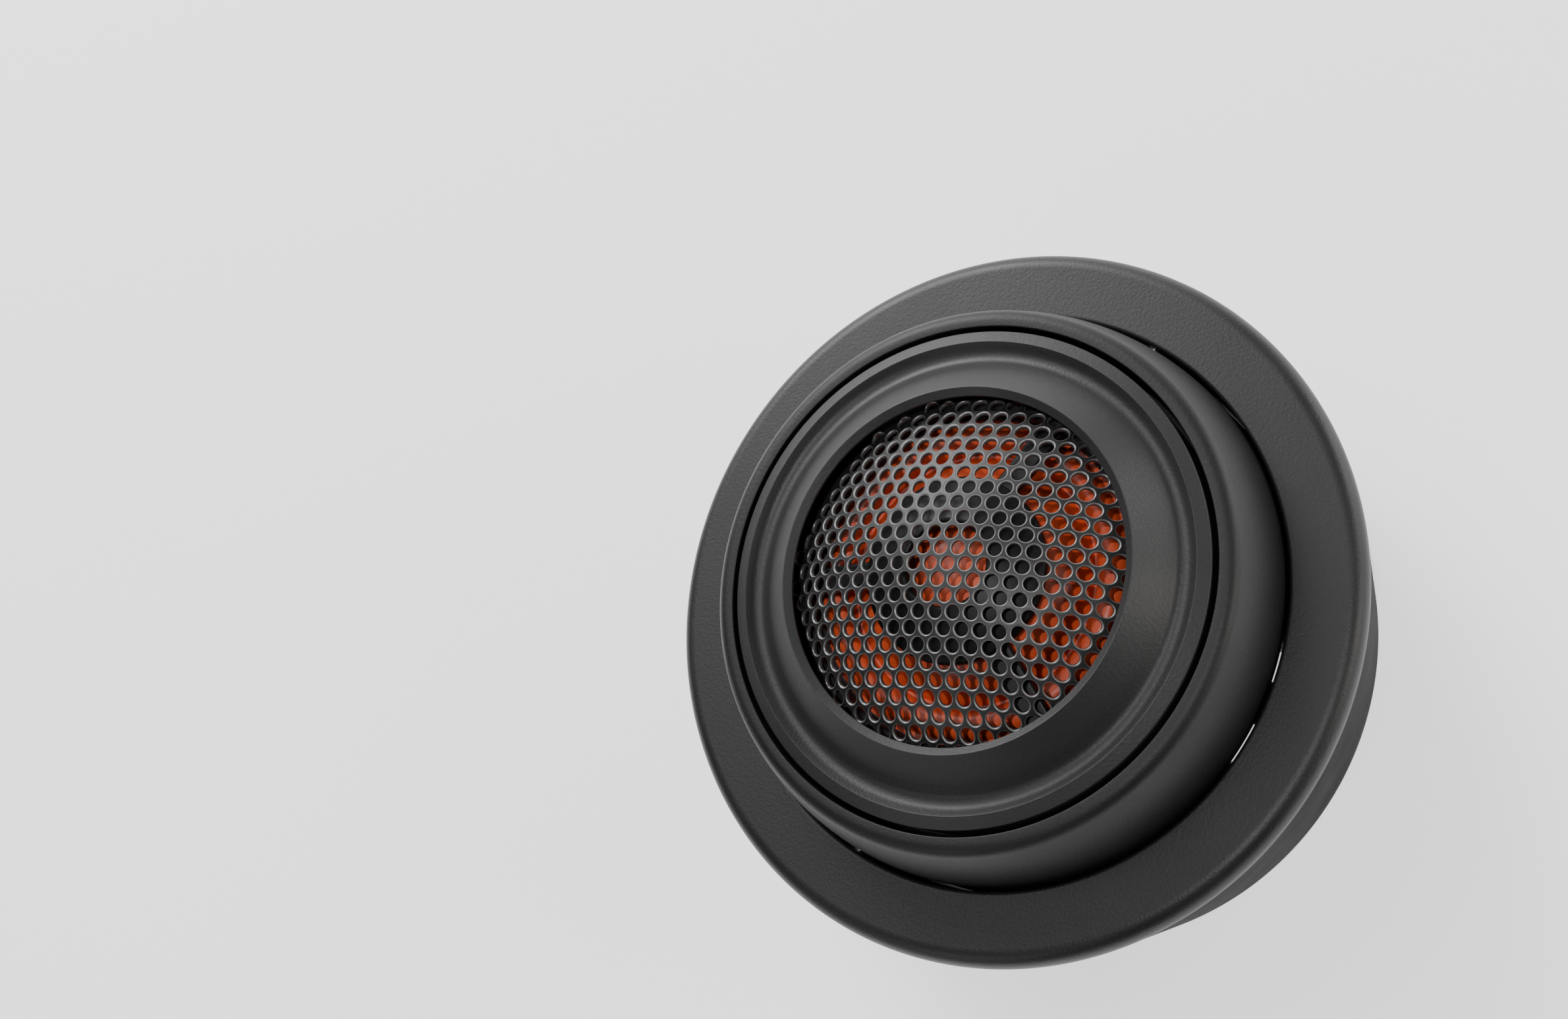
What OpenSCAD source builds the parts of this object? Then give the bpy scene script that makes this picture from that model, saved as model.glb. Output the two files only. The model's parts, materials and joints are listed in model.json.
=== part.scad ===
// Swivelling surface-mount car tweeter: a dome drive unit in a ball cup, tilted and
// turned inside a round pod. Millimetres, +Z towards the listener, Z = 0 on the panel.

/* [Pod] */
// Outer radius of the pod at its front trim ring
pod_r = 29; // [28.5:0.1:30]
// Outer radius of the pod where it meets the panel
pod_foot_r = 26.56; // [26.2:0.02:27.5]
// Height of the ball centre above the panel
pivot_z = 19.4; // [19:0.1:22]
// Depth of the shell below the ball centre
shell_depth = 19; // [18.6:0.1:19]
// Radius of the opening in the pod floor
floor_open_r = 19.6; // [19:0.1:20.4]
// Circle that the mounting screws lie on
screw_pcd = 45; // [44:0.5:46]
// Radius of a mounting screw hole
screw_hole_r = 1.6; // [1.4:0.1:1.8]

/* [Swivel] */
// Radius of the ball cup
ball_r = 22.95; // [22.8:0.05:23]
// Radial gap round the ball
ball_gap = 0.3; // [0.28:0.01:0.35]
// Radius of a trunnion pin
pin_r = 0.6; // [0.5:0.05:0.65]
// Radial clearance of a pin in its bore
pin_clear = 0.05; // [0.03:0.01:0.08]
// Number of spring fingers in the cup's skirt
finger_count = 3; // [3:1:3]
// Width of a spring finger and of each slot beside it, in degrees round the cup
finger_deg = 8.5; // [7:0.5:9]

/* [Capsule face] */
// Radius of the cup's mouth
mouth_r = 19.685; // [19.6:0.005:19.8]
// Outer radius of the bezel
bezel_r = 19.23; // [19.1:0.01:19.3]
// Radius of the bezel's grille opening
opening_r = 13.4; // [13.2:0.05:13.5]
// Height of the bezel's crest above the ball centre
crest_z = 11.735; // [11.6:0.005:11.9]

/* [Grille] */
// Radius of the grille's dome
grille_dome_r = 22.25; // [22:0.05:22.6]
// Height of the grille's apex above the ball centre
grille_top = 14.25; // [14.2:0.05:14.4]
// Thickness of the grille sheet
grille_t = 0.4; // [0.3:0.05:0.45]
// Distance between neighbouring holes in the flat sheet
hole_pitch = 1.36; // [1.3:0.01:1.45]
// Radius of a grille hole
hole_r = 0.52; // [0.4:0.01:0.55]

/* [Drive unit] */
// Radius of the dome at its foot
dome_r = 9.75; // [9.7:0.05:9.8]
// Radius of the dome's curve
dome_curve_r = 12.6; // [12.4:0.1:13]
// Height of the diaphragm plane above the ball centre
diaphragm_z = 7; // [6.9:0.05:7]
// Thickness of the dome film
film_t = 0.12; // [0.08:0.01:0.15]
// Outer radius of the surround's roll
surround_r = 12.4; // [12.2:0.05:12.5]
// Radius of the phase plate's disc
plate_disc_r = 7.2; // [6.8:0.1:7.4]
// Radius of the hole in the phase plate
plate_hole_r = 3.15; // [2.8:0.05:3.4]
// Outer radius of the yoke cup
yoke_r = 12.8; // [12.6:0.1:12.8]
// Radius of the pole plate
pole_r = 9.1; // [8.9:0.05:9.1]
// Radius of the vent through the pole
vent_r = 2.5; // [2:0.1:3]

/* [Hidden] */
$fn = 96;
tiny = 0.01;

// Heights from here on are measured from the ball centre.
trim_top = 2;              // front face of the trim ring
trim_foot = 0.2;           // where the trim ring meets the shell
trim_round = 1.4;          // radius of the trim ring's outer edge
trim_lip = 0.35;           // rounding of its inner edge
trim_ceiling = 1.2;        // underside of the trim over the swivel ring
trim_bore_r = ball_r + ball_gap - 0.05;
ring_top = 1;              // top of the swivel ring
ring_foot = -6.5;          // foot of the swivel ring
ring_in_r = ball_r + ball_gap;
ring_out_r = 25.95;        // outside of the swivel ring
seat_r = ring_out_r + 0.25;  // bore of the shell round the swivel ring
ledge_z = -7.4;            // ledge that the wave spring sits on
ledge_t = 1.6;             // thickness of that ledge
ledge_in_r = 24;           // inner radius of that ledge
inner_wall_r = 24.6;       // inside of the shell below the ledge
floor_t = 2.4;             // thickness of the pod floor
tongue_in_r = 27.05;       // tongue under the trim ring
tongue_t = 0.9;
tongue_z = -2.3;
groove_gap = 0.05;
gasket_in_r = 20.4;        // foam gasket in the pod's back
gasket_out_r = 25.6;
gasket_groove = 0.6;       // depth of the groove that the gasket sits in
gasket_t = gasket_groove + pivot_z - shell_depth;
foot_round = 0.5;          // rounding of the shell's foot
mount_first = 30;          // direction of the first mounting screw, in degrees

skirt_z = -7.5;            // lower edge of the ball cup
cup_wall = 1.6;            // thickness of the cup's spherical wall
cup_top = 9.39;            // lip of the cup
lip_round = 1.2;           // radius of the lip's outer edge
lip_z = cup_top - lip_round;                // centre of that rounding
lip_r = rise(ball_r - lip_round, lip_z);
lip_foot = lip_z * ball_r / (ball_r - lip_round);  // where the lip meets the spherical wall
shelf_z = 3;               // shelf that the frame sits on
shelf_t = 1.6;
shelf_in_r = 15.6;
slot_top = 1;              // upper end of the slots beside a spring finger
finger_first = 277.75;     // direction of the first spring finger, in degrees
boss_r = 1.9;              // boss round a trunnion pin
boss_in_r = 19.9;          // inner end of that boss
pin_in_r = 20.2;           // inner and outer ends of a trunnion pin
pin_out_r = 25.7;

rim_foot = 9.49;           // raised rim of the bezel: outer edge, then crown
rim_r = 18.24;
rim_top = 9.955;
groove_r = 17.25;          // bottom of the groove inside that rim
groove_z = 9.1;
recess_in_r = 16.3;        // recess under the bezel
recess_out_r = 17.9;
recess_top = 7.7;

frame_r = 19.2;            // drive unit frame
frame_top = 5.8;
hub_r = 15.4;
hub_foot = -3.4;
hub_in_r = yoke_r + 0.02;   // bore of the hub round the yoke
yoke_top = 3.4;            // top of the yoke and of the pole plate
gap_h = 2;                 // height of the magnetic gap
yoke_gap_r = 10.15;        // bore of the yoke
magnet_r = 8.6;
magnet_t = 4;
yoke_floor_t = 2.4;
yoke_foot = yoke_top - gap_h - magnet_t - yoke_floor_t;
chamber_r = 12.7;          // rear chamber behind the yoke
chamber_h = 6;
chamber_wall = 1.2;
chamber_foot = yoke_foot - chamber_h;
stack_r = 15.2;            // outside of the rings stacked under the bezel
gasket_h = 0.5;            // gasket between the diaphragm and the phase plate
plate_ring_z = diaphragm_z + film_t + gasket_h;
plate_ring_h = 1.4;
plate_ring_in_r = 12.9;
dome_centre_z = diaphragm_z + film_t - rise(dome_curve_r, dome_r);
plate_curve_r = 12;        // curve of the phase plate's disc
plate_curve_z = 1.35;      // centre of that curve
plate_gap = 0.6;           // gap between the dome and the underside of the disc
plate_under_r = dome_curve_r + plate_gap;
arm_w = 2;                 // width of a phase plate arm
arm_overlap = 0.4;         // how far an arm runs into the disc
arm_top = plate_curve_z + rise(plate_curve_r, plate_disc_r) - 0.15;
arm_foot = dome_centre_z + rise(plate_under_r, plate_disc_r);
grille_rim_z = plate_ring_z + plate_ring_h;
grille_rim_in_r = 14;      // flat rim of the grille
clamp_z = grille_rim_z + grille_t;
bezel_seat_r = grille_rim_in_r + 0.6;
grid_turn = -3.4;          // turn of the triangular grid of holes, in degrees
grid_shift = [0.14, -0.8]; // place of the grid's middle hole
grid_reach = 11;           // rows of holes tried each way
sheet_stretch = 0.0006;    // stretch of the sheet away from the middle
former_r = 9.45;           // inside of the coil former
former_t = 0.1;
former_foot = 1.2;
coil_h = 2.4;
coil_t = 0.25;
screw_circle_r = 17.5;     // circle of the capsule screws
screw_r = 0.9;
screw_head_r = 1.7;
screw_head_h = 1.2;
screw_first = 90;          // direction of the first capsule screw, in degrees
board_w = 16;              // terminal board
board_d = 9;
board_t = 1.2;
board_foot = chamber_foot - board_t;
terminal_x = 5;            // distance of each terminal from the middle
terminal_h = 3.2;
terminal_t = 0.5;
rivet_y = 2.6;             // distance of the rivets from the middle
rivet_r = 0.8;
wire_r = 0.4;
wire_x = 14.1;             // distance of the lead wires from the axis
wire_clear = 0.1;
wire_y = -2.6;

// A ring of rectangular section.
module ring(r_in, r_out, z_low, z_high) {
    rotate_extrude() translate([r_in, z_low]) square([r_out - r_in, z_high - z_low]);
}

// A disc from z_low to z_high.
module disc(r, z_low, z_high) {
    translate([0, 0, z_low]) cylinder(r = r, h = z_high - z_low);
}

// Copies of a child at equal steps round the axis.
module around(count, first = 0) {
    for (i = [0 : count - 1]) rotate([0, 0, first + i * 360 / count]) children();
}

// Points of an arc in the section plane.
function arc(centre, r, from, to, steps = 8) =
    [for (i = [0 : steps]) centre + r * [cos(from + (to - from) * i / steps),
                                         sin(from + (to - from) * i / steps)]];

// Height above its centre of a circle of radius r, at distance x from the axis.
function rise(r, x) = sqrt(r * r - x * x);

module at_pivot() {
    translate([0, 0, pivot_z]) children();
}

// ---- Pod ----

// Section of the shell: tapered wall, groove, ledge and floor.
module shell_section() {
    polygon(concat(
        [[floor_open_r, -shell_depth]],
        arc([pod_foot_r - foot_round, -shell_depth + foot_round], foot_round, -90, -7),
        [[pod_r - 0.05, trim_foot],
         [tongue_in_r + tongue_t + groove_gap, trim_foot],
         [tongue_in_r + tongue_t + groove_gap, tongue_z - 0.1],
         [tongue_in_r - groove_gap, tongue_z - 0.1],
         [tongue_in_r - groove_gap, trim_foot],
         [seat_r, trim_foot],
         [seat_r, ledge_z],
         [ledge_in_r, ledge_z],
         [ledge_in_r, ledge_z - ledge_t],
         [inner_wall_r, ledge_z - ledge_t - 0.6],
         [inner_wall_r, floor_t - shell_depth],
         [floor_open_r, floor_t - shell_depth]]));
}

module base_shell() {
    color([0.16, 0.16, 0.165]) at_pivot() difference() {
        rotate_extrude() shell_section();
        ring(gasket_in_r - 0.1, gasket_out_r + 0.1, -shell_depth - 1, -shell_depth + gasket_groove);
        around(3, mount_first) translate([screw_pcd / 2, 0, -shell_depth - 1])
            cylinder(r = screw_hole_r, h = floor_t + 2);
    }
}

module front_trim() {
    color([0.25, 0.25, 0.255]) at_pivot() rotate_extrude() polygon(concat(
        [[trim_bore_r, trim_ceiling]],
        arc([trim_bore_r + trim_lip, trim_top - trim_lip], trim_lip, 180, 90, 5),
        arc([pod_r - trim_round, trim_top - trim_round], trim_round, 90, 0),
        [[pod_r, trim_foot],
         [tongue_in_r + tongue_t, trim_foot],
         [tongue_in_r + tongue_t, tongue_z],
         [tongue_in_r, tongue_z],
         [tongue_in_r, trim_foot],
         [seat_r + 0.1, trim_foot],
         [seat_r + 0.1, trim_ceiling]]));
}

module mounting_gasket() {
    color([0.05, 0.05, 0.05]) difference() {
        ring(gasket_in_r, gasket_out_r, 0, gasket_t);
        around(3, mount_first) translate([screw_pcd / 2, 0, -1])
            cylinder(r = screw_hole_r, h = gasket_t + 2);
    }
}

module friction_washer() {
    color([0.85, 0.83, 0.78]) at_pivot()
        ring(ledge_in_r + 0.2, seat_r - 0.2, ring_foot - 0.3, ring_foot - 0.05);
}

// Wave spring: a flat ring with raised lands that press on the friction washer.
module wave_spring() {
    color([0.7, 0.7, 0.72]) at_pivot() {
        ring(ledge_in_r + 0.3, seat_r - 0.3, ledge_z, ledge_z + 0.25);
        around(4) rotate([0, 0, -20]) rotate_extrude(angle = 40)
            translate([ledge_in_r + 0.5, ledge_z + 0.2]) square([seat_r - ledge_in_r - 1, 0.4]);
    }
}

// ---- Swivel ring ----

module swivel_ring() {
    color([0.12, 0.12, 0.125]) at_pivot() difference() {
        ring(ring_in_r, ring_out_r, ring_foot, ring_top);
        for (side = [-1, 1]) translate([side * (ring_in_r - 2), 0, 0]) rotate([0, side * 90, 0])
            cylinder(r = pin_r + pin_clear, h = ring_out_r - ring_in_r + 4);
    }
}

// ---- Head ----

// Section of the ball cup: spherical wall, rounded lip, mouth, shelf and hollow skirt.
module cup_section() {
    difference() {
        union() {
            intersection() {
                circle(r = ball_r, $fn = 192);
                translate([0, skirt_z]) square([ball_r + 1, lip_foot - skirt_z]);
            }
            polygon(concat(
                [[mouth_r - 1, lip_foot],
                 [mouth_r - 1, cup_top]],
                arc([lip_r, lip_z], lip_round, 90, atan2(lip_z, lip_r))));
        }
        translate([-1, shelf_z]) square([mouth_r + 1, cup_top]);
        translate([-1, shelf_z - shelf_t - 0.5]) square([shelf_in_r + 1, shelf_t + 1]);
        intersection() {
            circle(r = ball_r - cup_wall, $fn = 192);
            translate([-1, skirt_z - 1]) square([ball_r, shelf_z - shelf_t - skirt_z + 1]);
        }
    }
}

module ball_cup() {
    slot_w = 2 * ball_r * sin(finger_deg / 2);
    color([0.24, 0.24, 0.245]) at_pivot() difference() {
        union() {
            rotate_extrude() cup_section();
            for (side = [-1, 1]) translate([side * boss_in_r, 0, 0]) rotate([0, side * 90, 0])
                cylinder(r = boss_r, h = ball_r - cup_wall + 0.6 - boss_in_r);
        }
        for (side = [-1, 1]) translate([side * pin_in_r, 0, 0]) rotate([0, side * 90, 0])
            cylinder(r = pin_r, h = 5);
        around(finger_count, finger_first) for (side = [-1, 1]) rotate([0, 0, side * finger_deg])
            translate([ball_r - 4, -slot_w / 2, skirt_z - 1]) cube([6, slot_w, slot_top - skirt_z + 1]);
        around(3, screw_first) translate([screw_circle_r, 0, 0]) cylinder(r = screw_r, h = shelf_z + 1);
    }
}

module trunnion_pins() {
    color([0.75, 0.75, 0.77]) at_pivot() for (side = [-1, 1])
        translate([side * pin_in_r, 0, 0]) rotate([0, side * 90, 0])
            cylinder(r = pin_r, h = pin_out_r - pin_in_r);
}

// Bezel: raised rim, groove, cone up to the crest, chamfered lip that overhangs the grille.
module bezel() {
    color([0.26, 0.26, 0.265]) at_pivot() difference() {
        rotate_extrude() polygon([
            [bezel_r, frame_top],
            [bezel_r, rim_foot],
            [rim_r, rim_top],
            [groove_r, groove_z],
            [opening_r + 0.6, crest_z],
            [opening_r, crest_z - 0.4],
            [opening_r, crest_z - 0.6],
            [bezel_seat_r, clamp_z + 0.9],
            [bezel_seat_r, clamp_z],
            [stack_r + 0.05, clamp_z],
            [stack_r + 0.05, frame_top],
            [recess_in_r, frame_top],
            [recess_in_r, recess_top],
            [recess_out_r, recess_top],
            [recess_out_r, frame_top]]);
        around(3, screw_first) translate([screw_circle_r, 0, frame_top - 1]) cylinder(r = screw_r, h = 2);
    }
}

// Centre of hole [i, j] of the flat sheet, and its place after the sheet is formed.
function sheet_point(i, j) =
    grid_shift + hole_pitch * [(i + j / 2) * cos(grid_turn) - j * sin(60) * sin(grid_turn),
                               (i + j / 2) * sin(grid_turn) + j * sin(60) * cos(grid_turn)];
function formed_angle(rho) = rho * (1 + sheet_stretch * rho * rho) / grille_dome_r * 180 / PI;
function formed_point(p) =
    let (rho = norm(p)) p / rho * grille_dome_r * sin(formed_angle(rho));
grille_holes = [for (i = [-grid_reach : grid_reach]) for (j = [-grid_reach : grid_reach])
    let (p = formed_point(sheet_point(i, j))) if (norm(p) < grille_rim_in_r - 0.02) p];

module grille_mesh() {
    color([0.3, 0.3, 0.31]) at_pivot() difference() {
        rotate_extrude() difference() {
            union() {
                intersection() {
                    translate([0, grille_top - grille_dome_r]) circle(r = grille_dome_r, $fn = 192);
                    translate([0, grille_rim_z]) square([grille_rim_in_r + 0.3, grille_top]);
                }
                translate([grille_rim_in_r - 0.6, grille_rim_z])
                    square([stack_r - grille_rim_in_r + 0.6, grille_t]);
            }
            intersection() {
                translate([0, grille_top - grille_dome_r]) circle(r = grille_dome_r - grille_t, $fn = 192);
                translate([-1, grille_rim_z - 1]) square([grille_rim_in_r + 1, grille_top]);
            }
        }
        for (p = grille_holes) translate([0, 0, grille_top - grille_dome_r])
            rotate([0, asin(norm(p) / grille_dome_r), atan2(p[1], p[0])])
                translate([0, 0, grille_dome_r - 1]) cylinder(r = hole_r, h = 2, $fn = 24);
    }
}

// Phase plate: domed disc with a hole, on three arms inside a ring.
module phase_plate() {
    color([0.05, 0.05, 0.05]) at_pivot() {
        ring(plate_ring_in_r, stack_r, plate_ring_z, grille_rim_z);
        rotate_extrude() difference() {
            intersection() {
                translate([0, plate_curve_z]) circle(r = plate_curve_r, $fn = 192);
                translate([plate_hole_r, plate_ring_z])
                    square([plate_disc_r - plate_hole_r, plate_curve_r]);
            }
            translate([0, dome_centre_z]) circle(r = plate_under_r, $fn = 192);
        }
        around(3) translate([0, arm_w / 2, 0]) rotate([90, 0, 0]) linear_extrude(height = arm_w) polygon([
            [plate_disc_r - arm_overlap, arm_top],
            [plate_disc_r - arm_overlap, arm_foot],
            [plate_ring_in_r - 0.3, plate_ring_z + 0.2],
            [plate_ring_in_r + 0.3, plate_ring_z + 0.2],
            [plate_ring_in_r + 0.3, grille_rim_z - 0.2],
            [plate_ring_in_r - 0.3, grille_rim_z - 0.2]]);
    }
}

module diaphragm_gasket() {
    color([0.08, 0.08, 0.08]) at_pivot()
        ring(plate_ring_in_r - 0.1, stack_r, diaphragm_z + film_t, plate_ring_z);
}

// Surround: half roll between the dome and its clamped flange.
module surround() {
    roll_mid = (dome_r + 0.2 + surround_r) / 2;
    roll_r = (surround_r - dome_r - 0.2) / 2;
    color([0.82, 0.2, 0.08]) at_pivot() rotate_extrude() {
        difference() {
            intersection() {
                translate([roll_mid, diaphragm_z]) circle(r = roll_r, $fn = 64);
                translate([0, diaphragm_z]) square(20);
            }
            translate([roll_mid, diaphragm_z]) circle(r = roll_r - film_t, $fn = 64);
        }
        translate([surround_r - film_t, diaphragm_z]) square([stack_r - 0.6 - surround_r, film_t]);
    }
}

module diaphragm_ring() {
    color([0.1, 0.1, 0.1]) at_pivot() ring(surround_r + 0.1, stack_r, frame_top, diaphragm_z);
}

module frame() {
    color([0.07, 0.07, 0.07]) at_pivot() difference() {
        rotate_extrude() polygon([
            [11, yoke_top],
            [11, frame_top],
            [frame_r, frame_top],
            [frame_r, shelf_z],
            [hub_r, shelf_z],
            [hub_r, hub_foot],
            [hub_in_r, hub_foot],
            [hub_in_r, yoke_top]]);
        around(3, screw_first) translate([screw_circle_r, 0, 0]) cylinder(r = screw_r, h = 10);
        for (side = [-1, 1]) translate([side * wire_x, wire_y, hub_foot - 1])
            cylinder(r = wire_r + wire_clear, h = 12, $fn = 32);
    }
}

module yoke_cup() {
    color([0.72, 0.72, 0.74]) at_pivot() difference() {
        disc(yoke_r, yoke_foot, yoke_top);
        disc(yoke_gap_r, yoke_foot + yoke_floor_t, yoke_top + 1);
        disc(vent_r, yoke_foot - 1, yoke_top);
    }
}

module magnet() {
    color([0.6, 0.6, 0.63]) at_pivot()
        ring(vent_r, magnet_r, yoke_foot + yoke_floor_t, yoke_top - gap_h);
}

module pole_plate() {
    color([0.66, 0.66, 0.68]) at_pivot() ring(vent_r, pole_r, yoke_top - gap_h, yoke_top);
}

module pole_felt() {
    color([0.3, 0.3, 0.3]) at_pivot() ring(vent_r + 0.3, pole_r - 1.2, yoke_top, yoke_top + 1.5);
}

module rear_chamber() {
    color([0.06, 0.06, 0.06]) at_pivot() difference() {
        disc(chamber_r, chamber_foot, yoke_foot);
        disc(chamber_r - chamber_wall, chamber_foot + chamber_wall, yoke_foot + 1);
    }
}

module rear_felt() {
    color([0.35, 0.34, 0.32]) at_pivot()
        disc(chamber_r - chamber_wall - 0.3, chamber_foot + chamber_wall, chamber_foot + chamber_wall + 3);
}

module capsule_screws() {
    seat_z = shelf_z - shelf_t;
    color([0.2, 0.2, 0.21]) at_pivot() around(3, screw_first) translate([screw_circle_r, 0, 0])
        difference() {
            union() {
                translate([0, 0, seat_z - screw_head_h]) cylinder(r = screw_head_r, h = screw_head_h);
                translate([0, 0, seat_z - tiny]) cylinder(r = screw_r, h = 4.6);
            }
            for (turn = [0, 90]) rotate([0, 0, turn]) translate([-1, -0.2, seat_z - screw_head_h - 0.1])
                cube([2, 0.4, 0.7]);
        }
}

module terminal_board() {
    color([0.55, 0.4, 0.22]) at_pivot() difference() {
        translate([-board_w / 2, -board_d / 2, board_foot]) cube([board_w, board_d, board_t]);
        for (side = [-1, 1]) translate([side * terminal_x, rivet_y, board_foot - 1])
            cylinder(r = rivet_r, h = board_t + 2);
    }
}

// Blade terminal: a foot riveted to the board and a blade bent down from it.
module terminal(side, blade_w) {
    at_pivot() translate([side * terminal_x, 0, board_foot]) difference() {
        union() {
            translate([-1.4, -0.5, -terminal_t]) cube([2.8, 4.6, terminal_t]);
            translate([-blade_w / 2, -0.5, -terminal_h]) cube([blade_w, terminal_t, terminal_h]);
        }
        translate([0, rivet_y, -2]) cylinder(r = rivet_r, h = 4);
    }
}

module terminal_positive() {
    color([0.8, 0.68, 0.35]) terminal(1, 4.8);
}

module terminal_negative() {
    color([0.8, 0.68, 0.35]) terminal(-1, 2.8);
}

module terminal_rivets() {
    color([0.78, 0.7, 0.45]) at_pivot() for (side = [-1, 1])
        translate([side * terminal_x, rivet_y, board_foot - terminal_t]) {
            cylinder(r = rivet_r, h = board_t + terminal_t);
            translate([0, 0, -0.4]) cylinder(r = 1.2, h = 0.4);
        }
}

// Lead wires from the diaphragm ring, through the frame, to the terminals.
module lead_wires() {
    color([0.7, 0.15, 0.12]) at_pivot() for (side = [-1, 1]) {
        elbow_z = board_foot - wire_r;
        translate([side * wire_x, wire_y, elbow_z]) cylinder(r = wire_r, h = frame_top - elbow_z, $fn = 32);
        translate([side * wire_x, wire_y, elbow_z]) sphere(r = wire_r, $fn = 32);
        translate([side * (terminal_x + 1), wire_y, elbow_z]) rotate([0, side * 90, 0])
            cylinder(r = wire_r, h = wire_x - terminal_x - 1, $fn = 32);
    }
}

// ---- Moving assembly ----

module dome() {
    color([0.85, 0.22, 0.08]) at_pivot() rotate_extrude() difference() {
        intersection() {
            translate([0, dome_centre_z]) circle(r = dome_curve_r, $fn = 256);
            translate([0, diaphragm_z]) square([dome_r, 20]);
        }
        intersection() {
            translate([0, dome_centre_z]) circle(r = dome_curve_r - film_t, $fn = 256);
            translate([-1, 0]) square([former_r + 1, 20]);
        }
    }
}

module coil_former() {
    color([0.75, 0.5, 0.2]) at_pivot() ring(former_r, former_r + former_t, former_foot, diaphragm_z);
}

module voice_coil() {
    color([0.72, 0.4, 0.2]) at_pivot()
        ring(former_r + former_t, former_r + former_t + coil_t, former_foot, former_foot + coil_h);
}

base_shell();
front_trim();
mounting_gasket();
friction_washer();
wave_spring();
swivel_ring();
ball_cup();
trunnion_pins();
bezel();
grille_mesh();
phase_plate();
diaphragm_gasket();
surround();
diaphragm_ring();
frame();
yoke_cup();
magnet();
pole_plate();
pole_felt();
rear_chamber();
rear_felt();
capsule_screws();
terminal_board();
terminal_positive();
terminal_negative();
terminal_rivets();
lead_wires();
dome();
coil_former();
voice_coil();
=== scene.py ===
"""Looks of a swivelling surface-mount car tweeter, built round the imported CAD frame."""

import json
import math

import bmesh
import bpy
from mathutils import Matrix, Vector


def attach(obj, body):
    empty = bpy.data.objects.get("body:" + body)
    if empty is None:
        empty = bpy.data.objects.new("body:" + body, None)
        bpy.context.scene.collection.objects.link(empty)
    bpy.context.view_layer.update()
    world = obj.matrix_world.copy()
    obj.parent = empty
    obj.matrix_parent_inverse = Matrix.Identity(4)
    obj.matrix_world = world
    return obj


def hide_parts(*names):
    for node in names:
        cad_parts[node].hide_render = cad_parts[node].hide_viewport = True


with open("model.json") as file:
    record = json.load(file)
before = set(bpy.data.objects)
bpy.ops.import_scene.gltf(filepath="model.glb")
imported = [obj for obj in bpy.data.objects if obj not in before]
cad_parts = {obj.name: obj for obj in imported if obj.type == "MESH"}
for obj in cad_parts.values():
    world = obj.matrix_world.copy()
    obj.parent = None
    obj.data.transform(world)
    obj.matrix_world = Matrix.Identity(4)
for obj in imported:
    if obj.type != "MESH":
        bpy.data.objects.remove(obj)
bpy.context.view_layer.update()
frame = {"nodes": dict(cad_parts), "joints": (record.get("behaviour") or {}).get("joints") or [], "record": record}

MM = 0.001
PIVOT = Vector(next(j["pos_m"] for j in frame["joints"] if j["name"] == "head_tilt")) / MM
TURNS = 288          # steps round the axis of a turned piece


# ---- Sections: outlines in millimetres, (radius, height above the ball centre) ----

def arc(centre_r, centre_z, radius, start, end, steps=10):
    """Points of an arc; angles in degrees from the outward direction."""
    points = []
    for i in range(steps + 1):
        a = math.radians(start + (end - start) * i / steps)
        points.append((centre_r + radius * math.cos(a), centre_z + radius * math.sin(a)))
    return points


def rise(radius, x):
    """Height of a circle above its centre, at distance x from the axis."""
    return math.sqrt(radius ** 2 - x ** 2)


def spaced(start, end, steps):
    """Even numbers from start to end."""
    return [start + (end - start) * i / steps for i in range(steps + 1)]


def rounded(corners, steps=6, hold=0.07):
    """A closed outline from corners (r, z) or (r, z, rounding), with holding points beside each arc."""
    outline = []
    count = len(corners)
    for i, corner in enumerate(corners):
        here = Vector(corner[:2])
        rounding = corner[2] if len(corner) > 2 else 0.0
        before = Vector(corners[i - 1][:2]) - here
        after = Vector(corners[(i + 1) % count][:2]) - here
        if not rounding:
            outline.append(tuple(here))
            continue
        u, v = before.normalized(), after.normalized()
        half = math.acos(max(-1.0, min(1.0, u.dot(v)))) / 2
        reach = rounding / math.tan(half)
        centre = here + (u + v).normalized() * rounding / math.sin(half)
        first, last = here + u * reach - centre, here + v * reach - centre
        if before.length > reach + 4 * hold:
            outline.append(tuple(here + u * (reach + hold)))
        sweep = math.pi - 2 * half
        for t in spaced(0, 1, steps):
            spot = (first * math.sin((1 - t) * sweep) + last * math.sin(t * sweep)) / math.sin(sweep)
            outline.append(tuple(centre + spot))
        if after.length > reach + 4 * hold:
            outline.append(tuple(here + v * (reach + hold)))
    return outline


# ---- Meshes ----

def new_object(name, verts, faces, painted_rim_highlight=None):
    """A smooth object from points in millimetres from the ball centre; the painted highlight share is one number
    per point.
    """
    mesh = bpy.data.meshes.new(name)
    mesh.from_pydata([(Vector(v) + PIVOT) * MM for v in verts], [], faces)
    if painted_rim_highlight:
        mesh.attributes.new("painted_rim_highlight", "FLOAT", "POINT").data.foreach_set("value", painted_rim_highlight)
    work = bmesh.new()
    work.from_mesh(mesh)
    bmesh.ops.remove_doubles(work, verts=work.verts, dist=1e-7)
    bmesh.ops.recalc_face_normals(work, faces=work.faces)
    for face in work.faces:
        face.smooth = True
    for edge in work.edges:
        edge.smooth = len(edge.link_faces) != 2 or edge.calc_face_angle(0.0) < math.radians(40)
    work.to_mesh(mesh)
    work.free()
    piece = bpy.data.objects.new(name, mesh)
    bpy.context.scene.collection.objects.link(piece)
    return piece


def turned(name, outline):
    """A closed outline turned round the axis."""
    verts, faces = [], []
    count = len(outline)
    for i in range(TURNS):
        a = 2 * math.pi * i / TURNS
        verts.extend((r * math.cos(a), r * math.sin(a), z) for r, z in outline)
    for i in range(TURNS):
        j = (i + 1) % TURNS
        for k in range(count):
            m = (k + 1) % count
            faces.append((i * count + k, j * count + k, j * count + m, i * count + m))
    return new_object(name, verts, faces)


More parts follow.
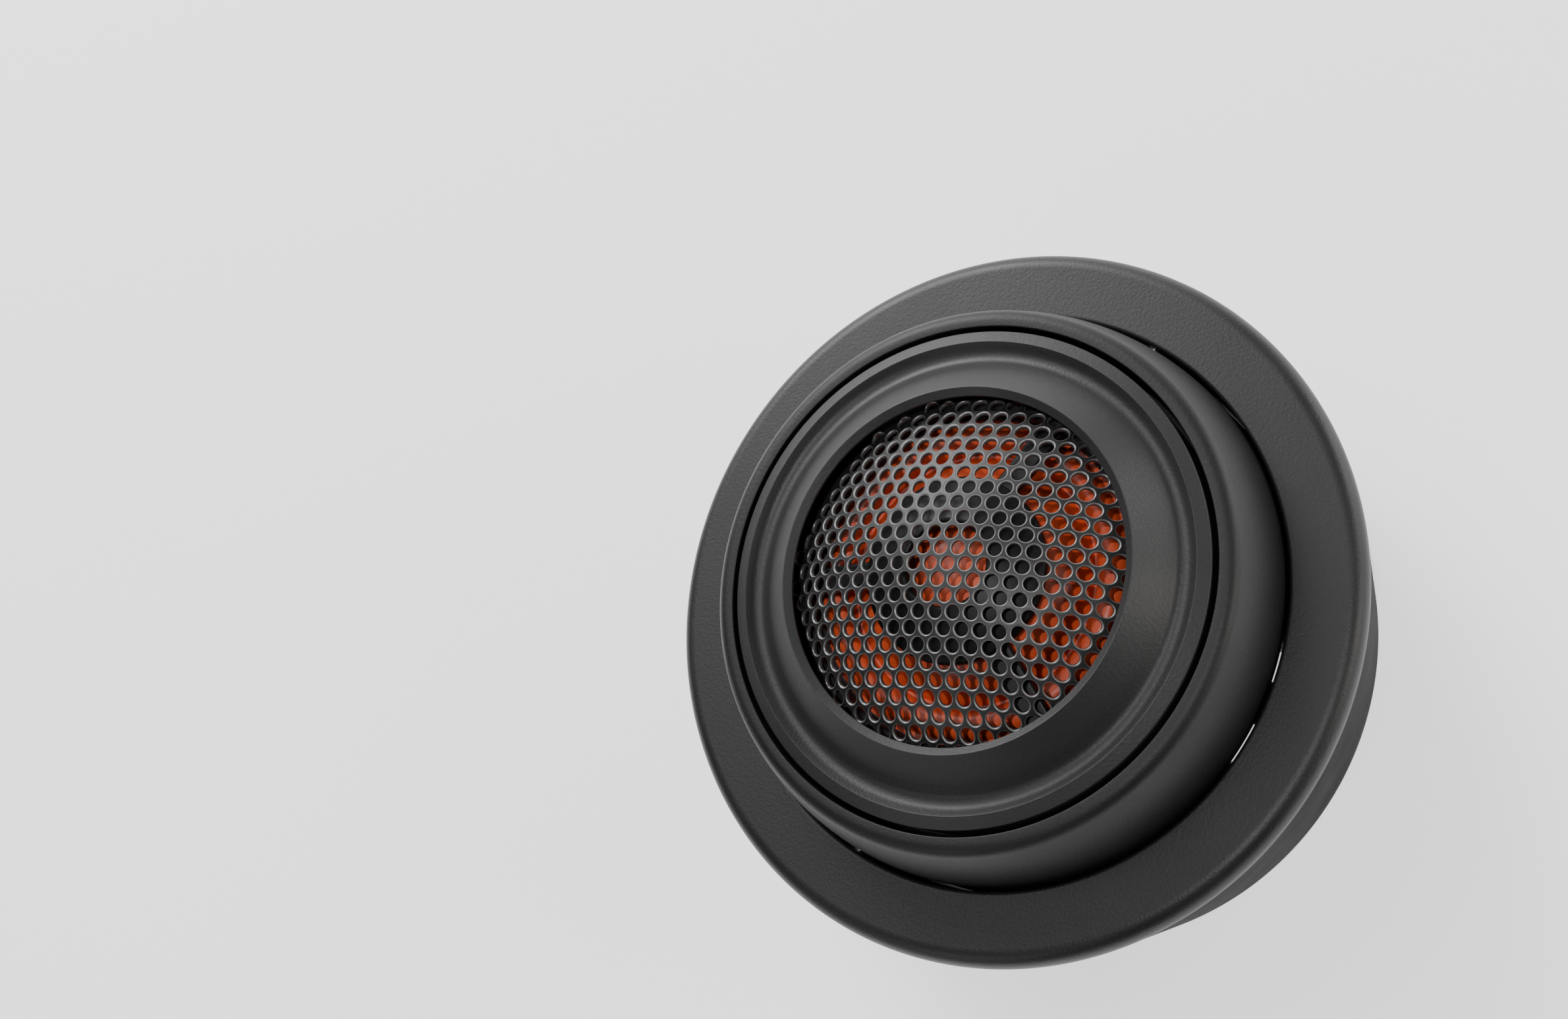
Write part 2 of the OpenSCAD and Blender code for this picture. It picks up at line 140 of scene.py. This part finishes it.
def strips(first, rings, count):
    """Faces between rings of count points that follow one another from point first."""
    faces = []
    for ring in range(rings - 1):
        for k in range(count):
            a = first + ring * count + k
            b = first + ring * count + (k + 1) % count
            faces.append((a, b, b + count, a + count))
    return faces


def join(name, pieces):
    """Several objects joined into one."""
    bpy.ops.object.select_all(action="DESELECT")
    for piece in pieces:
        piece.select_set(True)
    bpy.context.view_layer.objects.active = pieces[0]
    bpy.ops.object.join()
    pieces[0].name = name
    pieces[0].data.name = name
    return pieces[0]


def cut(piece, cutters):
    """Cuts the cutters out of a piece and deletes them."""
    for cutter in cutters:
        tool = piece.modifiers.new("cut", "BOOLEAN")
        tool.operation = "DIFFERENCE"
        tool.solver = "EXACT"
        tool.object = cutter
    bpy.context.view_layer.objects.active = piece
    bpy.context.view_layer.update()
    flat = bpy.data.meshes.new_from_object(piece.evaluated_get(bpy.context.evaluated_depsgraph_get()))
    piece.modifiers.clear()
    piece.data = flat
    for cutter in cutters:
        bpy.data.objects.remove(cutter)
    return piece


def rod(name, start, end, radius, sides=32):
    """A plain rod between two points, used as a cutter or a boss."""
    start, end = Vector(start), Vector(end)
    turn = (end - start).to_track_quat("Z", "Y")
    verts = []
    for base in (start, end):
        for i in range(sides):
            a = 2 * math.pi * i / sides
            verts.append(base + turn @ Vector((radius * math.cos(a), radius * math.sin(a), 0)))
    faces = [tuple(range(sides)), tuple(range(sides, 2 * sides)), *strips(0, 2, sides)]
    return new_object(name, verts, faces)


def slab(name, low, high, angle):
    """A box between two corners, turned round the axis by angle degrees."""
    turn = Matrix.Rotation(math.radians(angle), 3, "Z")
    corners = [turn @ Vector((x, y, z)) for x in (low[0], high[0]) for y in (low[1], high[1])
               for z in (low[2], high[2])]
    faces = [(0, 1, 3, 2), (4, 6, 7, 5), (0, 4, 5, 1), (2, 3, 7, 6), (0, 2, 6, 4), (1, 5, 7, 3)]
    return new_object(name, corners, faces)


def around(angle, radius):
    """The point (x, y) at an angle in degrees and a distance from the axis."""
    a = math.radians(angle)
    return radius * math.cos(a), radius * math.sin(a)


# ---- Materials ----

NOISE_LOW, NOISE_HIGH = 0.3, 0.7     # the usual spread of a noise value


def material(name):
    """A new node material: (material, node tree, principled shader, object coordinates)."""
    made = bpy.data.materials.new(name)
    made.use_nodes = True
    tree = made.node_tree
    shader = tree.nodes["Principled BSDF"]
    coords = tree.nodes.new("ShaderNodeTexCoord").outputs["Object"]
    return made, tree, shader, coords


def noise(tree, coords, per_mm, detail=2.0):
    """Noise with about per_mm features in a millimetre."""
    node = tree.nodes.new("ShaderNodeTexNoise")
    node.inputs["Scale"].default_value = per_mm / MM
    node.inputs["Detail"].default_value = detail
    tree.links.new(coords, node.inputs["Vector"])
    return node.outputs["Fac"]


def ramp(tree, factor, low, high):
    """Maps a noise value to a number between low and high."""
    node = tree.nodes.new("ShaderNodeMapRange")
    node.inputs["From Min"].default_value = NOISE_LOW
    node.inputs["From Max"].default_value = NOISE_HIGH
    node.inputs["To Min"].default_value = low
    node.inputs["To Max"].default_value = high
    tree.links.new(factor, node.inputs["Value"])
    return node.outputs["Result"]


def blend_colours(tree, factor, low, high, start=NOISE_LOW, end=NOISE_HIGH):
    """Blends two colours by a factor."""
    node = tree.nodes.new("ShaderNodeValToRGB")
    node.color_ramp.elements[0].position = start
    node.color_ramp.elements[0].color = (*low, 1)
    node.color_ramp.elements[1].position = end
    node.color_ramp.elements[1].color = (*high, 1)
    tree.links.new(factor, node.inputs["Fac"])
    return node.outputs["Color"]


def bump(tree, shader, height, depth_mm):
    """Bumps a shader by a height between 0 and 1."""
    node = tree.nodes.new("ShaderNodeBump")
    node.inputs["Strength"].default_value = 1.0
    node.inputs["Distance"].default_value = depth_mm * MM
    tree.links.new(height, node.inputs["Height"])
    tree.links.new(node.outputs["Normal"], shader.inputs["Normal"])


def shaded(colour, share):
    """A colour made darker or lighter by a factor."""
    return [c * share for c in colour]


def grained(name, colour, roughness, grain=4.5, depth=0.02, specular=0.5):
    """Moulded plastic: fine spark-eroded grain, slight variation of colour and gloss."""
    made, tree, shader, coords = material(name)
    broad = noise(tree, coords, 0.12, 3.0)
    fine = noise(tree, coords, grain, 3.0)
    tint = blend_colours(tree, fine, shaded(colour, 0.9), shaded(colour, 1.1))
    tree.links.new(tint, shader.inputs["Base Color"])
    tree.links.new(ramp(tree, broad, roughness - 0.04, roughness + 0.04), shader.inputs["Roughness"])
    shader.inputs["Specular IOR Level"].default_value = specular
    bump(tree, shader, fine, depth)
    return made


def film(name, colour, deep, roughness=0.3):
    """Glossy polymer film, slightly uneven in colour."""
    made, tree, shader, coords = material(name)
    broad = noise(tree, coords, 0.5)
    tree.links.new(blend_colours(tree, broad, deep, colour), shader.inputs["Base Color"])
    tree.links.new(ramp(tree, noise(tree, coords, 3.0), roughness - 0.05, roughness + 0.05),
                   shader.inputs["Roughness"])
    shader.inputs["Coat Weight"].default_value = 0.3
    shader.inputs["Coat Roughness"].default_value = 0.25
    bump(tree, shader, noise(tree, coords, 1.5), 0.01)
    return made


def metal(name, colour, roughness, brushed=0.0):
    """Plated or bare metal; a brushed value below 1 draws its fine marks out along the axis."""
    made, tree, shader, coords = material(name)
    if brushed:
        stretch = tree.nodes.new("ShaderNodeMapping")
        stretch.inputs["Scale"].default_value = (1, 1, brushed)
        tree.links.new(coords, stretch.inputs["Vector"])
        coords = stretch.outputs["Vector"]
    fine = noise(tree, coords, 3.0, 4.0)
    tree.links.new(blend_colours(tree, fine, shaded(colour, 0.85), colour), shader.inputs["Base Color"])
    tree.links.new(ramp(tree, fine, roughness - 0.06, roughness + 0.06), shader.inputs["Roughness"])
    shader.inputs["Metallic"].default_value = 1.0
    bump(tree, shader, fine, 0.006)
    return made


def punched(name, colour, rim_highlight_colour):
    """Satin painted sheet, with a painted highlight on its punched hole edges: a lighter, metallic colour set by a
    point attribute.
    """
    made, tree, shader, coords = material(name)
    fine = noise(tree, coords, 5.0, 3.0)
    # painted highlight: a point attribute turns the hole edges to a lighter, metallic colour
    painted_rim_highlight = tree.nodes.new("ShaderNodeAttribute")
    painted_rim_highlight.attribute_name = "painted_rim_highlight"
    mix = tree.nodes.new("ShaderNodeMix")
    mix.data_type = "RGBA"
    tree.links.new(painted_rim_highlight.outputs["Fac"], mix.inputs["Factor"])
    tree.links.new(blend_colours(tree, fine, shaded(colour, 0.8), colour), mix.inputs["A"])
    mix.inputs["B"].default_value = (*rim_highlight_colour, 1)
    tree.links.new(mix.outputs["Result"], shader.inputs["Base Color"])
    tree.links.new(painted_rim_highlight.outputs["Fac"], shader.inputs["Metallic"])
    tree.links.new(ramp(tree, fine, 0.4, 0.5), shader.inputs["Roughness"])
    bump(tree, shader, fine, 0.004)
    return made


def fibrous(name, colour):
    """Felt or foam: open fibres, no gloss."""
    made, tree, shader, coords = material(name)
    fibres = noise(tree, coords, 9.0, 6.0)
    tint = blend_colours(tree, fibres, shaded(colour, 0.5), colour, 0.35, 0.65)
    tree.links.new(tint, shader.inputs["Base Color"])
    tree.links.new(ramp(tree, fibres, 0.85, 1.0), shader.inputs["Roughness"])
    shader.inputs["Sheen Weight"].default_value = 0.3
    bump(tree, shader, fibres, 0.06)
    return made


def windings(name):
    """Enamelled copper wire wound round the axis."""
    made, tree, shader, coords = material(name)
    wave = tree.nodes.new("ShaderNodeTexWave")
    wave.bands_direction = "Z"
    wave.inputs["Scale"].default_value = 3.2 / MM
    tree.links.new(coords, wave.inputs["Vector"])
    tree.links.new(blend_colours(tree, wave.outputs["Fac"], (0.2, 0.06, 0.02), (0.75, 0.33, 0.13)),
                   shader.inputs["Base Color"])
    shader.inputs["Metallic"].default_value = 0.9
    shader.inputs["Roughness"].default_value = 0.3
    bump(tree, shader, wave.outputs["Fac"], 0.03)
    return made


LOOKS = {
    "pod_plastic": grained("pod_plastic", (0.008, 0.008, 0.0083), 0.55, specular=0.015),
    "trim_plastic": grained("trim_plastic", (0.008, 0.008, 0.0082), 0.46),
    "cup_plastic": grained("cup_plastic", (0.006, 0.006, 0.0062), 0.5, specular=0.4),
    "bezel_plastic": grained("bezel_plastic", (0.018, 0.018, 0.0184), 0.48),
    "inner_plastic": grained("inner_plastic", (0.016, 0.016, 0.017), 0.6),
    "washer_plastic": grained("washer_plastic", (0.6, 0.58, 0.52), 0.5),
    "board": grained("board", (0.3, 0.17, 0.07), 0.55),
    "wire_insulation": grained("wire_insulation", (0.4, 0.03, 0.02), 0.45),
    "phase_plastic": grained("phase_plastic", (0.008, 0.008, 0.0085), 0.46,
                             grain=4.0, depth=0.003, specular=0.35),
    "foam": fibrous("foam", (0.02, 0.02, 0.02)),
    "felt": fibrous("felt", (0.12, 0.12, 0.12)),
    # grille_metal: the second colour is the painted highlight on the hole edges
    "grille_metal": punched("grille_metal", (0.016, 0.016, 0.0165), (0.45, 0.45, 0.455)),
    "black_screw": metal("black_screw", (0.05, 0.05, 0.052), 0.4),
    "plated_steel": metal("plated_steel", (0.55, 0.55, 0.57), 0.3, brushed=0.1),
    "spring_steel": metal("spring_steel", (0.6, 0.6, 0.62), 0.25),
    "magnet_nickel": metal("magnet_nickel", (0.65, 0.63, 0.6), 0.18),
    "terminal_brass": metal("terminal_brass", (0.75, 0.58, 0.25), 0.28),
    "dome_film": film("dome_film", (0.8, 0.11, 0.035), (0.62, 0.07, 0.02), roughness=0.36),
    "former_film": film("former_film", (0.5, 0.2, 0.04), (0.35, 0.12, 0.02)),
    "coil_copper": windings("coil_copper"),
}
SLOT_OF = {entry["node"]: entry["material_slot"] for entry in frame["record"]["subparts"]}


def finish_piece(piece, body, *nodes):
    """Gives a piece its material and body, in place of CAD nodes."""
    slot = SLOT_OF[nodes[0]]
    piece.data.materials.clear()
    piece.data.materials.append(LOOKS[slot])
    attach(piece, body)
    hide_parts(*nodes)
    return piece


def dress_cad_nodes():
    """Every CAD node carries the look of its slot."""
    for name, node in frame["nodes"].items():
        node.data.materials.clear()
        node.data.materials.append(LOOKS[SLOT_OF[name]])


# ---- Pod ----

POD_R = 29.0
TRIM_TOP, TRIM_FOOT = 2.0, 0.2       # the trim ring's face, and its seam with the shell
SKIRT_IN_R, SKIRT_OUT_R = 27.0, 28.0     # groove of the shell that takes the trim ring's skirt
SKIRT_DEPTH = 2.4


def build_base_shell():
    """Tapered wall, shelf for the swivel ring, and the floor with its gasket recess and screw holes."""
    foot, foot_r = -19.0, 26.56
    recess_top, recess_in_r, recess_out_r = -18.4, 20.3, 25.7
    floor_open_r, floor_top = 19.6, -16.6
    seat_r, shelf_r, wall_r = 26.2, 24.0, 24.6
    shelf_top, shelf_foot, wall_top = -7.4, -9.0, -9.6
    outline = rounded([
        (floor_open_r, foot, 0.15), (recess_in_r, foot), (recess_in_r, recess_top),
        (recess_out_r, recess_top), (recess_out_r, foot), (foot_r, foot, 0.5),
        (POD_R - 0.05, TRIM_FOOT, 0.1), (SKIRT_OUT_R, TRIM_FOOT), (SKIRT_OUT_R, -SKIRT_DEPTH),
        (SKIRT_IN_R, -SKIRT_DEPTH), (SKIRT_IN_R, TRIM_FOOT, 0.1), (seat_r, TRIM_FOOT, 0.1),
        (seat_r, shelf_top), (shelf_r, shelf_top, 0.2), (shelf_r, shelf_foot, 0.2), (wall_r, wall_top),
        (wall_r, floor_top, 0.4), (floor_open_r, floor_top, 0.2)], steps=8)
    shell = turned("pod_base_shell", outline)
    screw_circle_r, hole_r, hole_top = 22.5, 1.6, -15
    holes = []
    for angle in (30, 150, 270):
        spot = around(angle, screw_circle_r)
        holes.append(rod("screw_hole", (*spot, foot - 1), (*spot, hole_top), hole_r, 64))
    finish_piece(cut(shell, holes), "pod", "base_shell")


def build_front_trim():
    """Flat ring with a large outer rounding and a skirt that goes into the shell."""
    bore_r, rebate_r, under = 23.2, 26.3, 1.2
    skirt_in_r, skirt_out_r, skirt_foot = SKIRT_IN_R + 0.05, SKIRT_OUT_R - 0.05, 0.1 - SKIRT_DEPTH
    outline = rounded([
        (bore_r, under, 0.1), (bore_r, TRIM_TOP, 0.35), (POD_R, TRIM_TOP, 1.4), (POD_R, TRIM_FOOT, 0.12),
        (skirt_out_r, TRIM_FOOT), (skirt_out_r, skirt_foot, 0.2), (skirt_in_r, skirt_foot, 0.2),
        (skirt_in_r, TRIM_FOOT), (rebate_r, TRIM_FOOT), (rebate_r, under)], steps=10)
    finish_piece(turned("pod_front_trim", outline), "pod", "front_trim")


# ---- Head ----

BALL_R = 22.95
STACK_R = 15.2       # of the parts stacked inside the bezel
SHELF_R = 19.685     # of the capsule's place in the cup


def build_bezel():
    """Raised rim, groove, cone up to the crest, and a lip that overhangs the grille."""
    bezel_r, foot, opening_r, seat_r, bore_r = 19.23, 5.8, 13.4, 14.6, STACK_R + 0.05
    edge_z, rim_r, rim_z, groove_r, groove_z = 9.49, 18.24, 9.955, 17.25, 9.1
    crest_z, clamp_z = 11.735, 9.45
    recess_in_r, recess_out_r, recess_top = 16.3, 17.9, 7.7
    outline = rounded([
        (bezel_r, foot, 0.2), (bezel_r, edge_z, 0.1), (rim_r, rim_z, 0.06), (groove_r, groove_z, 0.9),
        (opening_r + 0.6, crest_z, 0.07), (opening_r, crest_z - 0.405, 0.05),
        (opening_r, crest_z - 0.605, 0.05), (seat_r, clamp_z + 0.89), (seat_r, clamp_z),
        (bore_r, clamp_z), (bore_r, foot), (recess_in_r, foot), (recess_in_r, recess_top),
        (recess_out_r, recess_top), (recess_out_r, foot)], steps=8)
    finish_piece(turned("capsule_bezel", outline), "head", "bezel")


def sphere_points(radius, z_from, z_to, steps):
    """Outline points on a sphere round the ball centre."""
    return [(rise(radius, z), z) for z in spaced(z_from, z_to, steps)]


def build_ball_cup():
    """Ball with a rounded lip, a shelf for the capsule, pin bosses and three spring fingers."""
    shelf, shelf_under, shelf_in_r, skirt = 3.0, 1.4, 15.6, -7.5
    inner_r = BALL_R - 1.6
    cup_top, lip_round, lip_edge = 9.39, 1.2, 0.1
    lip_z = cup_top - lip_round
    lip_r = rise(BALL_R - lip_round, lip_z)
    lip_turn = math.degrees(math.atan2(lip_z, lip_r))
    lip_foot = lip_z * BALL_R / (BALL_R - lip_round)
    outline = (
        arc(SHELF_R + lip_edge, cup_top - lip_edge, lip_edge, 180, 90, 5)
        + arc(lip_r, lip_z, lip_round, 90, lip_turn, 14)
        + sphere_points(BALL_R, lip_foot, skirt, 60)[1:]
        + sphere_points(inner_r, skirt, shelf_under, 30)
        + [(shelf_in_r, shelf_under), (shelf_in_r, shelf), (SHELF_R, shelf), (SHELF_R, 5.0)])
    cup = turned("head_ball_cup", outline)

    boss_in, boss_out, boss_r = 19.9, 21.9, 1.9
    hole_in, hole_out, hole_r = 20.2, 25, 0.6
    bosses = []
    for side in (-1, 1):
        boss = rod("boss", (side * boss_in, 0, 0), (side * boss_out, 0, 0), boss_r, 48)
        hole = rod("pin_hole", (side * hole_in, 0, 0), (side * hole_out, 0, 0), hole_r)
        bosses.append(cut(boss, [hole]))

    finger_at, finger_half, slot_half = 277.75, 8.5, BALL_R * math.sin(math.radians(4.25))
    slot_in, slot_out, slot_foot, slot_top = 19, 25, -9, 1
    screw_circle_r, screw_r = 17.5, 0.9
    cutters = []
    for turn in (0, 120, 240):
        for side in (-1, 1):
            cutters.append(slab("slot", (slot_in, -slot_half, slot_foot), (slot_out, slot_half, slot_top),
                                finger_at + turn + side * finger_half))
        spot = around(90 + turn, screw_circle_r)
        cutters.append(rod("screw_hole", (*spot, 0), (*spot, 4), screw_r))
    finish_piece(join("head_ball_cup", [cut(cup, cutters), *bosses]), "head", "ball_cup")


GRILLE_CURVE, GRILLE_TOP, GRILLE_T = 22.25, 14.25, 0.4
GRILLE_RIM_R, GRILLE_RIM_Z = 14.0, 9.04      # where the holes end, and the underside of the flat rim
HOLE_PITCH, HOLE_R = 1.36, 0.52
GRID_TURN, GRID_SHIFT = math.radians(-3.4), Vector((0.14, -0.8))
SHEET_STRETCH = 0.0006


def formed(flat, depth):
    """A point of the flat perforated sheet after it is drawn into the dome, depth below its face."""
    rho = flat.length
    angle = rho * (1 + SHEET_STRETCH * rho * rho) / GRILLE_CURVE
    radius = GRILLE_CURVE - depth
    r = radius * math.sin(angle)
    z = GRILLE_TOP - GRILLE_CURVE + radius * math.cos(angle)
    z = max(z, GRILLE_RIM_Z + GRILLE_T - depth)
    out = flat / rho if rho > 1e-9 else Vector((0, 0))
    return (out.x * r, out.y * r, z)


def grille_cells():
    """Centres of the sheet's cells and their distances from the axis once the sheet is formed."""
    reach = 11
    cells = []
    for i in range(-reach, reach + 1):
        for j in range(-reach, reach + 1):
            grid = Vector((i + j / 2, j * math.sin(math.radians(60)))) * HOLE_PITCH
            grid.rotate(Matrix.Rotation(GRID_TURN, 2))
            centre = GRID_SHIFT + grid
            distance = math.hypot(*formed(centre, 0)[:2])
            if distance <= STACK_R + HOLE_PITCH:
                cells.append((centre, distance))
    return cells


def build_grille():
    """A hexagonal cell of sheet round each hole, with a painted highlight on the hole edges, and blank cells on
    the rim.
    """
    sides, edge, chamfer = 24, 0.11, 0.06
    turns = [2 * math.pi * k / sides for k in range(sides)]
    border = [HOLE_PITCH / 2 / math.cos(turn % math.radians(60) - math.radians(30)) for turn in turns]
    quarter_round = ((1.0, 0.0), (0.6, 0.08), (0.29, 0.29), (0.08, 0.6), (0.0, 1.0))
    circles = [(HOLE_R + edge + 0.03, 0.0),
               *((HOLE_R + out * edge, down * edge) for out, down in quarter_round),
               (HOLE_R, GRILLE_T - chamfer), (HOLE_R + chamfer, GRILLE_T)]
    # share of the painted highlight on each ring of points round a hole
    highlight_by_ring = (0.0, 0.0, 0.2, 0.7, 1.0, 0.3, 0.0, 0.0)
    face, back = (border, 0.0, 0.0), (border, GRILLE_T, 0.0)
    holed = [face, *(([r] * sides, depth, highlight_here) for (r, depth), highlight_here in zip(circles, highlight_by_ring)), back]
    verts, faces, painted_rim_highlight = [], [], []
    for centre, distance in grille_cells():
        is_blank = distance > GRILLE_RIM_R - 0.02
        first = len(verts)
        for sizes, depth, highlight_here in [face, back] if is_blank else holed:
            for turn, size in zip(turns, sizes):
                a = turn + GRID_TURN + math.radians(30)
                x, y, z = formed(centre + size * Vector((math.cos(a), math.sin(a))), depth)
                inward = min(1.0, STACK_R / math.hypot(x, y))
                verts.append((x * inward, y * inward, z))
                painted_rim_highlight.append(highlight_here)
        if is_blank:
            faces += [tuple(range(first, first + sides)), tuple(range(first + sides, first + 2 * sides))]
        else:
            faces += strips(first, len(holed), sides)
    sheet = new_object("grille_sheet", verts, faces, painted_rim_highlight)
    inner_r, low, high = 14.7, GRILLE_RIM_Z + 0.02, GRILLE_RIM_Z + GRILLE_T - 0.02
    rim = turned("grille_rim", rounded([(inner_r, low), (STACK_R, low, 0.1), (STACK_R, high, 0.1),
                                        (inner_r, high)], 4))
    finish_piece(join("domed_grille", [sheet, rim]), "head", "grille_mesh")


DIAPHRAGM_Z, FILM_T = 7.0, 0.12
DIAPHRAGM_TOP = DIAPHRAGM_Z + FILM_T
DOME_R, DOME_CURVE = 9.75, 12.6
DOME_CENTRE = DIAPHRAGM_TOP - rise(DOME_CURVE, DOME_R)
FOLD_R = DOME_R + 0.2        # where the dome's hem meets the surround
ROLL_R = 1.225


def build_dome():
    """Thin cap with a flat hem."""
    steps, inside_r = 48, 9.4
    outer = [(r, DOME_CENTRE + rise(DOME_CURVE, r)) for r in spaced(0, DOME_R, steps)]
    inner = [(r, DOME_CENTRE + rise(DOME_CURVE - FILM_T, r)) for r in spaced(inside_r, 0, steps)]
    hem = [(FOLD_R, DIAPHRAGM_TOP), (FOLD_R, DIAPHRAGM_Z), (inside_r + 0.02, DIAPHRAGM_Z)]
    finish_piece(turned("orange_dome", outer + hem + inner), "diaphragm", "dome")


def build_surround():
    """Half roll with a flat flange that is clamped."""
    middle = FOLD_R + ROLL_R
    flange_r, flange_top_r, flange_under_r = 14.6, 12.45, 12.3
    outline = (arc(middle, DIAPHRAGM_Z, ROLL_R, 180, 6, 20)
               + [(flange_top_r, DIAPHRAGM_TOP), (flange_r, DIAPHRAGM_TOP),
                  (flange_r, DIAPHRAGM_Z), (flange_under_r, DIAPHRAGM_Z)]
               + arc(middle, DIAPHRAGM_Z, ROLL_R - FILM_T, 4, 180, 20))
    finish_piece(turned("orange_surround", outline), "head", "surround")


PLATE_CURVE, PLATE_CENTRE = 12.0, 1.35
PLATE_HOLE_R, PLATE_DISC_R, PLATE_GAP = 3.15, 7.2, 0.6
PLATE_RING_IN_R, PLATE_RING_Z, PLATE_RING_TOP = 12.9, DIAPHRAGM_TOP + 0.5, DIAPHRAGM_TOP + 1.9


def plate_arm(start, end, angle):
    """An arm from the disc to the ring; start and end are (radius, underside, top)."""
    stations, half_width = 6, 1
    verts = []
    for t in spaced(0, 1, stations):
        r, low, high = (a + (b - a) * t for a, b in zip(start, end))
        section = rounded([(-half_width, low, 0.12), (half_width, low, 0.12),
                           (half_width, high, 0.25), (-half_width, high, 0.25)], 5)
        verts.extend((r, y, z) for y, z in section)
    count = len(section)
    faces = [tuple(range(count)), tuple(range(len(verts) - count, len(verts)))]
    faces += strips(0, stations + 1, count)
    spin = Matrix.Rotation(math.radians(angle), 3, "Z")
    return new_object("plate_arm", [spin @ Vector(v) for v in verts], faces)


def build_phase_plate():
    """Domed disc with a hole, on three arms inside a ring."""
    radii = spaced(PLATE_HOLE_R, PLATE_DISC_R, 16)
    top = [(r, PLATE_CENTRE + rise(PLATE_CURVE, r)) for r in radii]
    under = [(r, DOME_CENTRE + rise(DOME_CURVE + PLATE_GAP, r)) for r in reversed(radii)]
    outline = [(*top[0], 0.3), *top[2:-2], (*top[-1], 0.3),
               (*under[0], 0.2), *under[2:-2], (*under[-1], 0.2)]
    disc = turned("plate_disc", rounded(outline, hold=0.05))
    ring = turned("plate_ring", rounded([
        (PLATE_RING_IN_R, PLATE_RING_Z, 0.1), (STACK_R, PLATE_RING_Z, 0.1),
        (STACK_R, PLATE_RING_TOP, 0.1), (PLATE_RING_IN_R, PLATE_RING_TOP, 0.3)], 5))
    at_disc = (PLATE_DISC_R - 0.4, under[0][1], top[-1][1] - 0.15)
    at_ring = (PLATE_RING_IN_R + 0.3, PLATE_RING_Z + 0.2, PLATE_RING_TOP - 0.2)
    arms = [plate_arm(at_disc, at_ring, angle) for angle in (0, 120, 240)]
    finish_piece(join("spider_phase_plate", [disc, ring, *arms]), "head", "phase_plate")


# ---- Stage ----

def build_floor():
    """White plane that glows a little, for the bright background."""
    bpy.ops.mesh.primitive_plane_add(size=4.0)
    floor = bpy.context.active_object
    floor.name = "studio_floor"
    made, tree, shader, coords = material("studio_floor")
    tree.links.new(blend_colours(tree, noise(tree, coords, 0.002), (0.9, 0.9, 0.9), (0.93, 0.93, 0.93)),
                   shader.inputs["Base Color"])
    shader.inputs["Roughness"].default_value = 0.9
    shader.inputs["Emission Color"].default_value = (1, 1, 1, 1)
    shader.inputs["Emission Strength"].default_value = 0.9
    floor.data.materials.append(made)


VIEW_TILT = math.radians(24.358)      # between the pod's axis and the line of sight
VIEW_ROLL = math.radians(59.521)      # of the camera about that line
VIEW_DISTANCE = 135.968
SENSOR_WIDTH, FOCAL_LENGTH = 36.0, 38.88
LENS_SHIFT = (-0.14226, 0.05779)


def view_axes():
    """The camera's right, up and back directions."""
    back = Vector((0, -math.sin(VIEW_TILT), math.cos(VIEW_TILT)))
    level = Vector((1, 0, 0))
    over = back.cross(level)
    right = math.cos(VIEW_ROLL) * level - math.sin(VIEW_ROLL) * over
    return right, back.cross(right), back


def build_camera():
    """Camera on the photo's line of sight; the lens shift puts the pod off centre."""
    right, up, back = view_axes()
    lens = bpy.data.cameras.new("camera")
    lens.sensor_width = SENSOR_WIDTH
    lens.lens = FOCAL_LENGTH
    lens.shift_x, lens.shift_y = LENS_SHIFT
    lens.clip_start = 0.005
    camera = bpy.data.objects.new("camera", lens)
    turn = Matrix((right, up, back)).transposed().to_4x4()
    camera.matrix_world = Matrix.Translation((PIVOT + back * VIEW_DISTANCE) * MM) @ turn
    bpy.context.scene.collection.objects.link(camera)
    bpy.context.scene.camera = camera


LAMP_DISTANCE = 0.6      # metres from the ball centre


def area_light(name, direction, size, power, colour=(1, 1, 1)):
    """A square light that faces the pod from a direction."""
    light = bpy.data.lights.new(name, "AREA")
    light.shape = "SQUARE"
    light.size = size
    light.energy = power
    light.color = colour
    lamp = bpy.data.objects.new(name, light)
    direction = Vector(direction).normalized()
    lamp.location = PIVOT * MM + direction * LAMP_DISTANCE
    lamp.rotation_euler = direction.to_track_quat("Z", "Y").to_euler()
    bpy.context.scene.collection.objects.link(lamp)


def build_lights():
    """Soft boxes round the camera's line of sight, one small front light, and a faint sky."""
    right, up, back = view_axes()
    area_light("key", up * 0.8 - right * 0.55 + back * 0.2, 0.3, 3.3)
    area_light("key_low", up * 0.65 - right * 0.74 + back * 0.15, 0.3, 1.0)
    area_light("top", up + back * 0.02, 0.3, 0.56)
    area_light("top_right", up * 0.65 + right * 0.7 + back * 0.33, 0.25, 1.3)
    area_light("right", right * 0.73 + up * 0.11 + back * 0.67, 0.2, 1.1, (1.0, 0.97, 0.93))
    area_light("left", back * 0.65 - right * 0.67 + up * 0.35, 0.25, 0.5)
    area_light("low_left", back * 0.5 - right * 0.6 - up * 0.6, 0.25, 0.4)
    area_light("front", back - right * 0.185 + up * 0.09, 0.015, 1.3)
    world = bpy.data.worlds.new("studio")
    world.use_nodes = True
    sky = world.node_tree.nodes["Background"]
    sky.inputs["Color"].default_value = (1, 1, 1, 1)
    sky.inputs["Strength"].default_value = 0.03
    bpy.context.scene.world = world


dress_cad_nodes()
build_base_shell()
build_front_trim()
build_ball_cup()
build_bezel()
build_grille()
build_dome()
build_surround()
build_phase_plate()
build_floor()
build_camera()
build_lights()
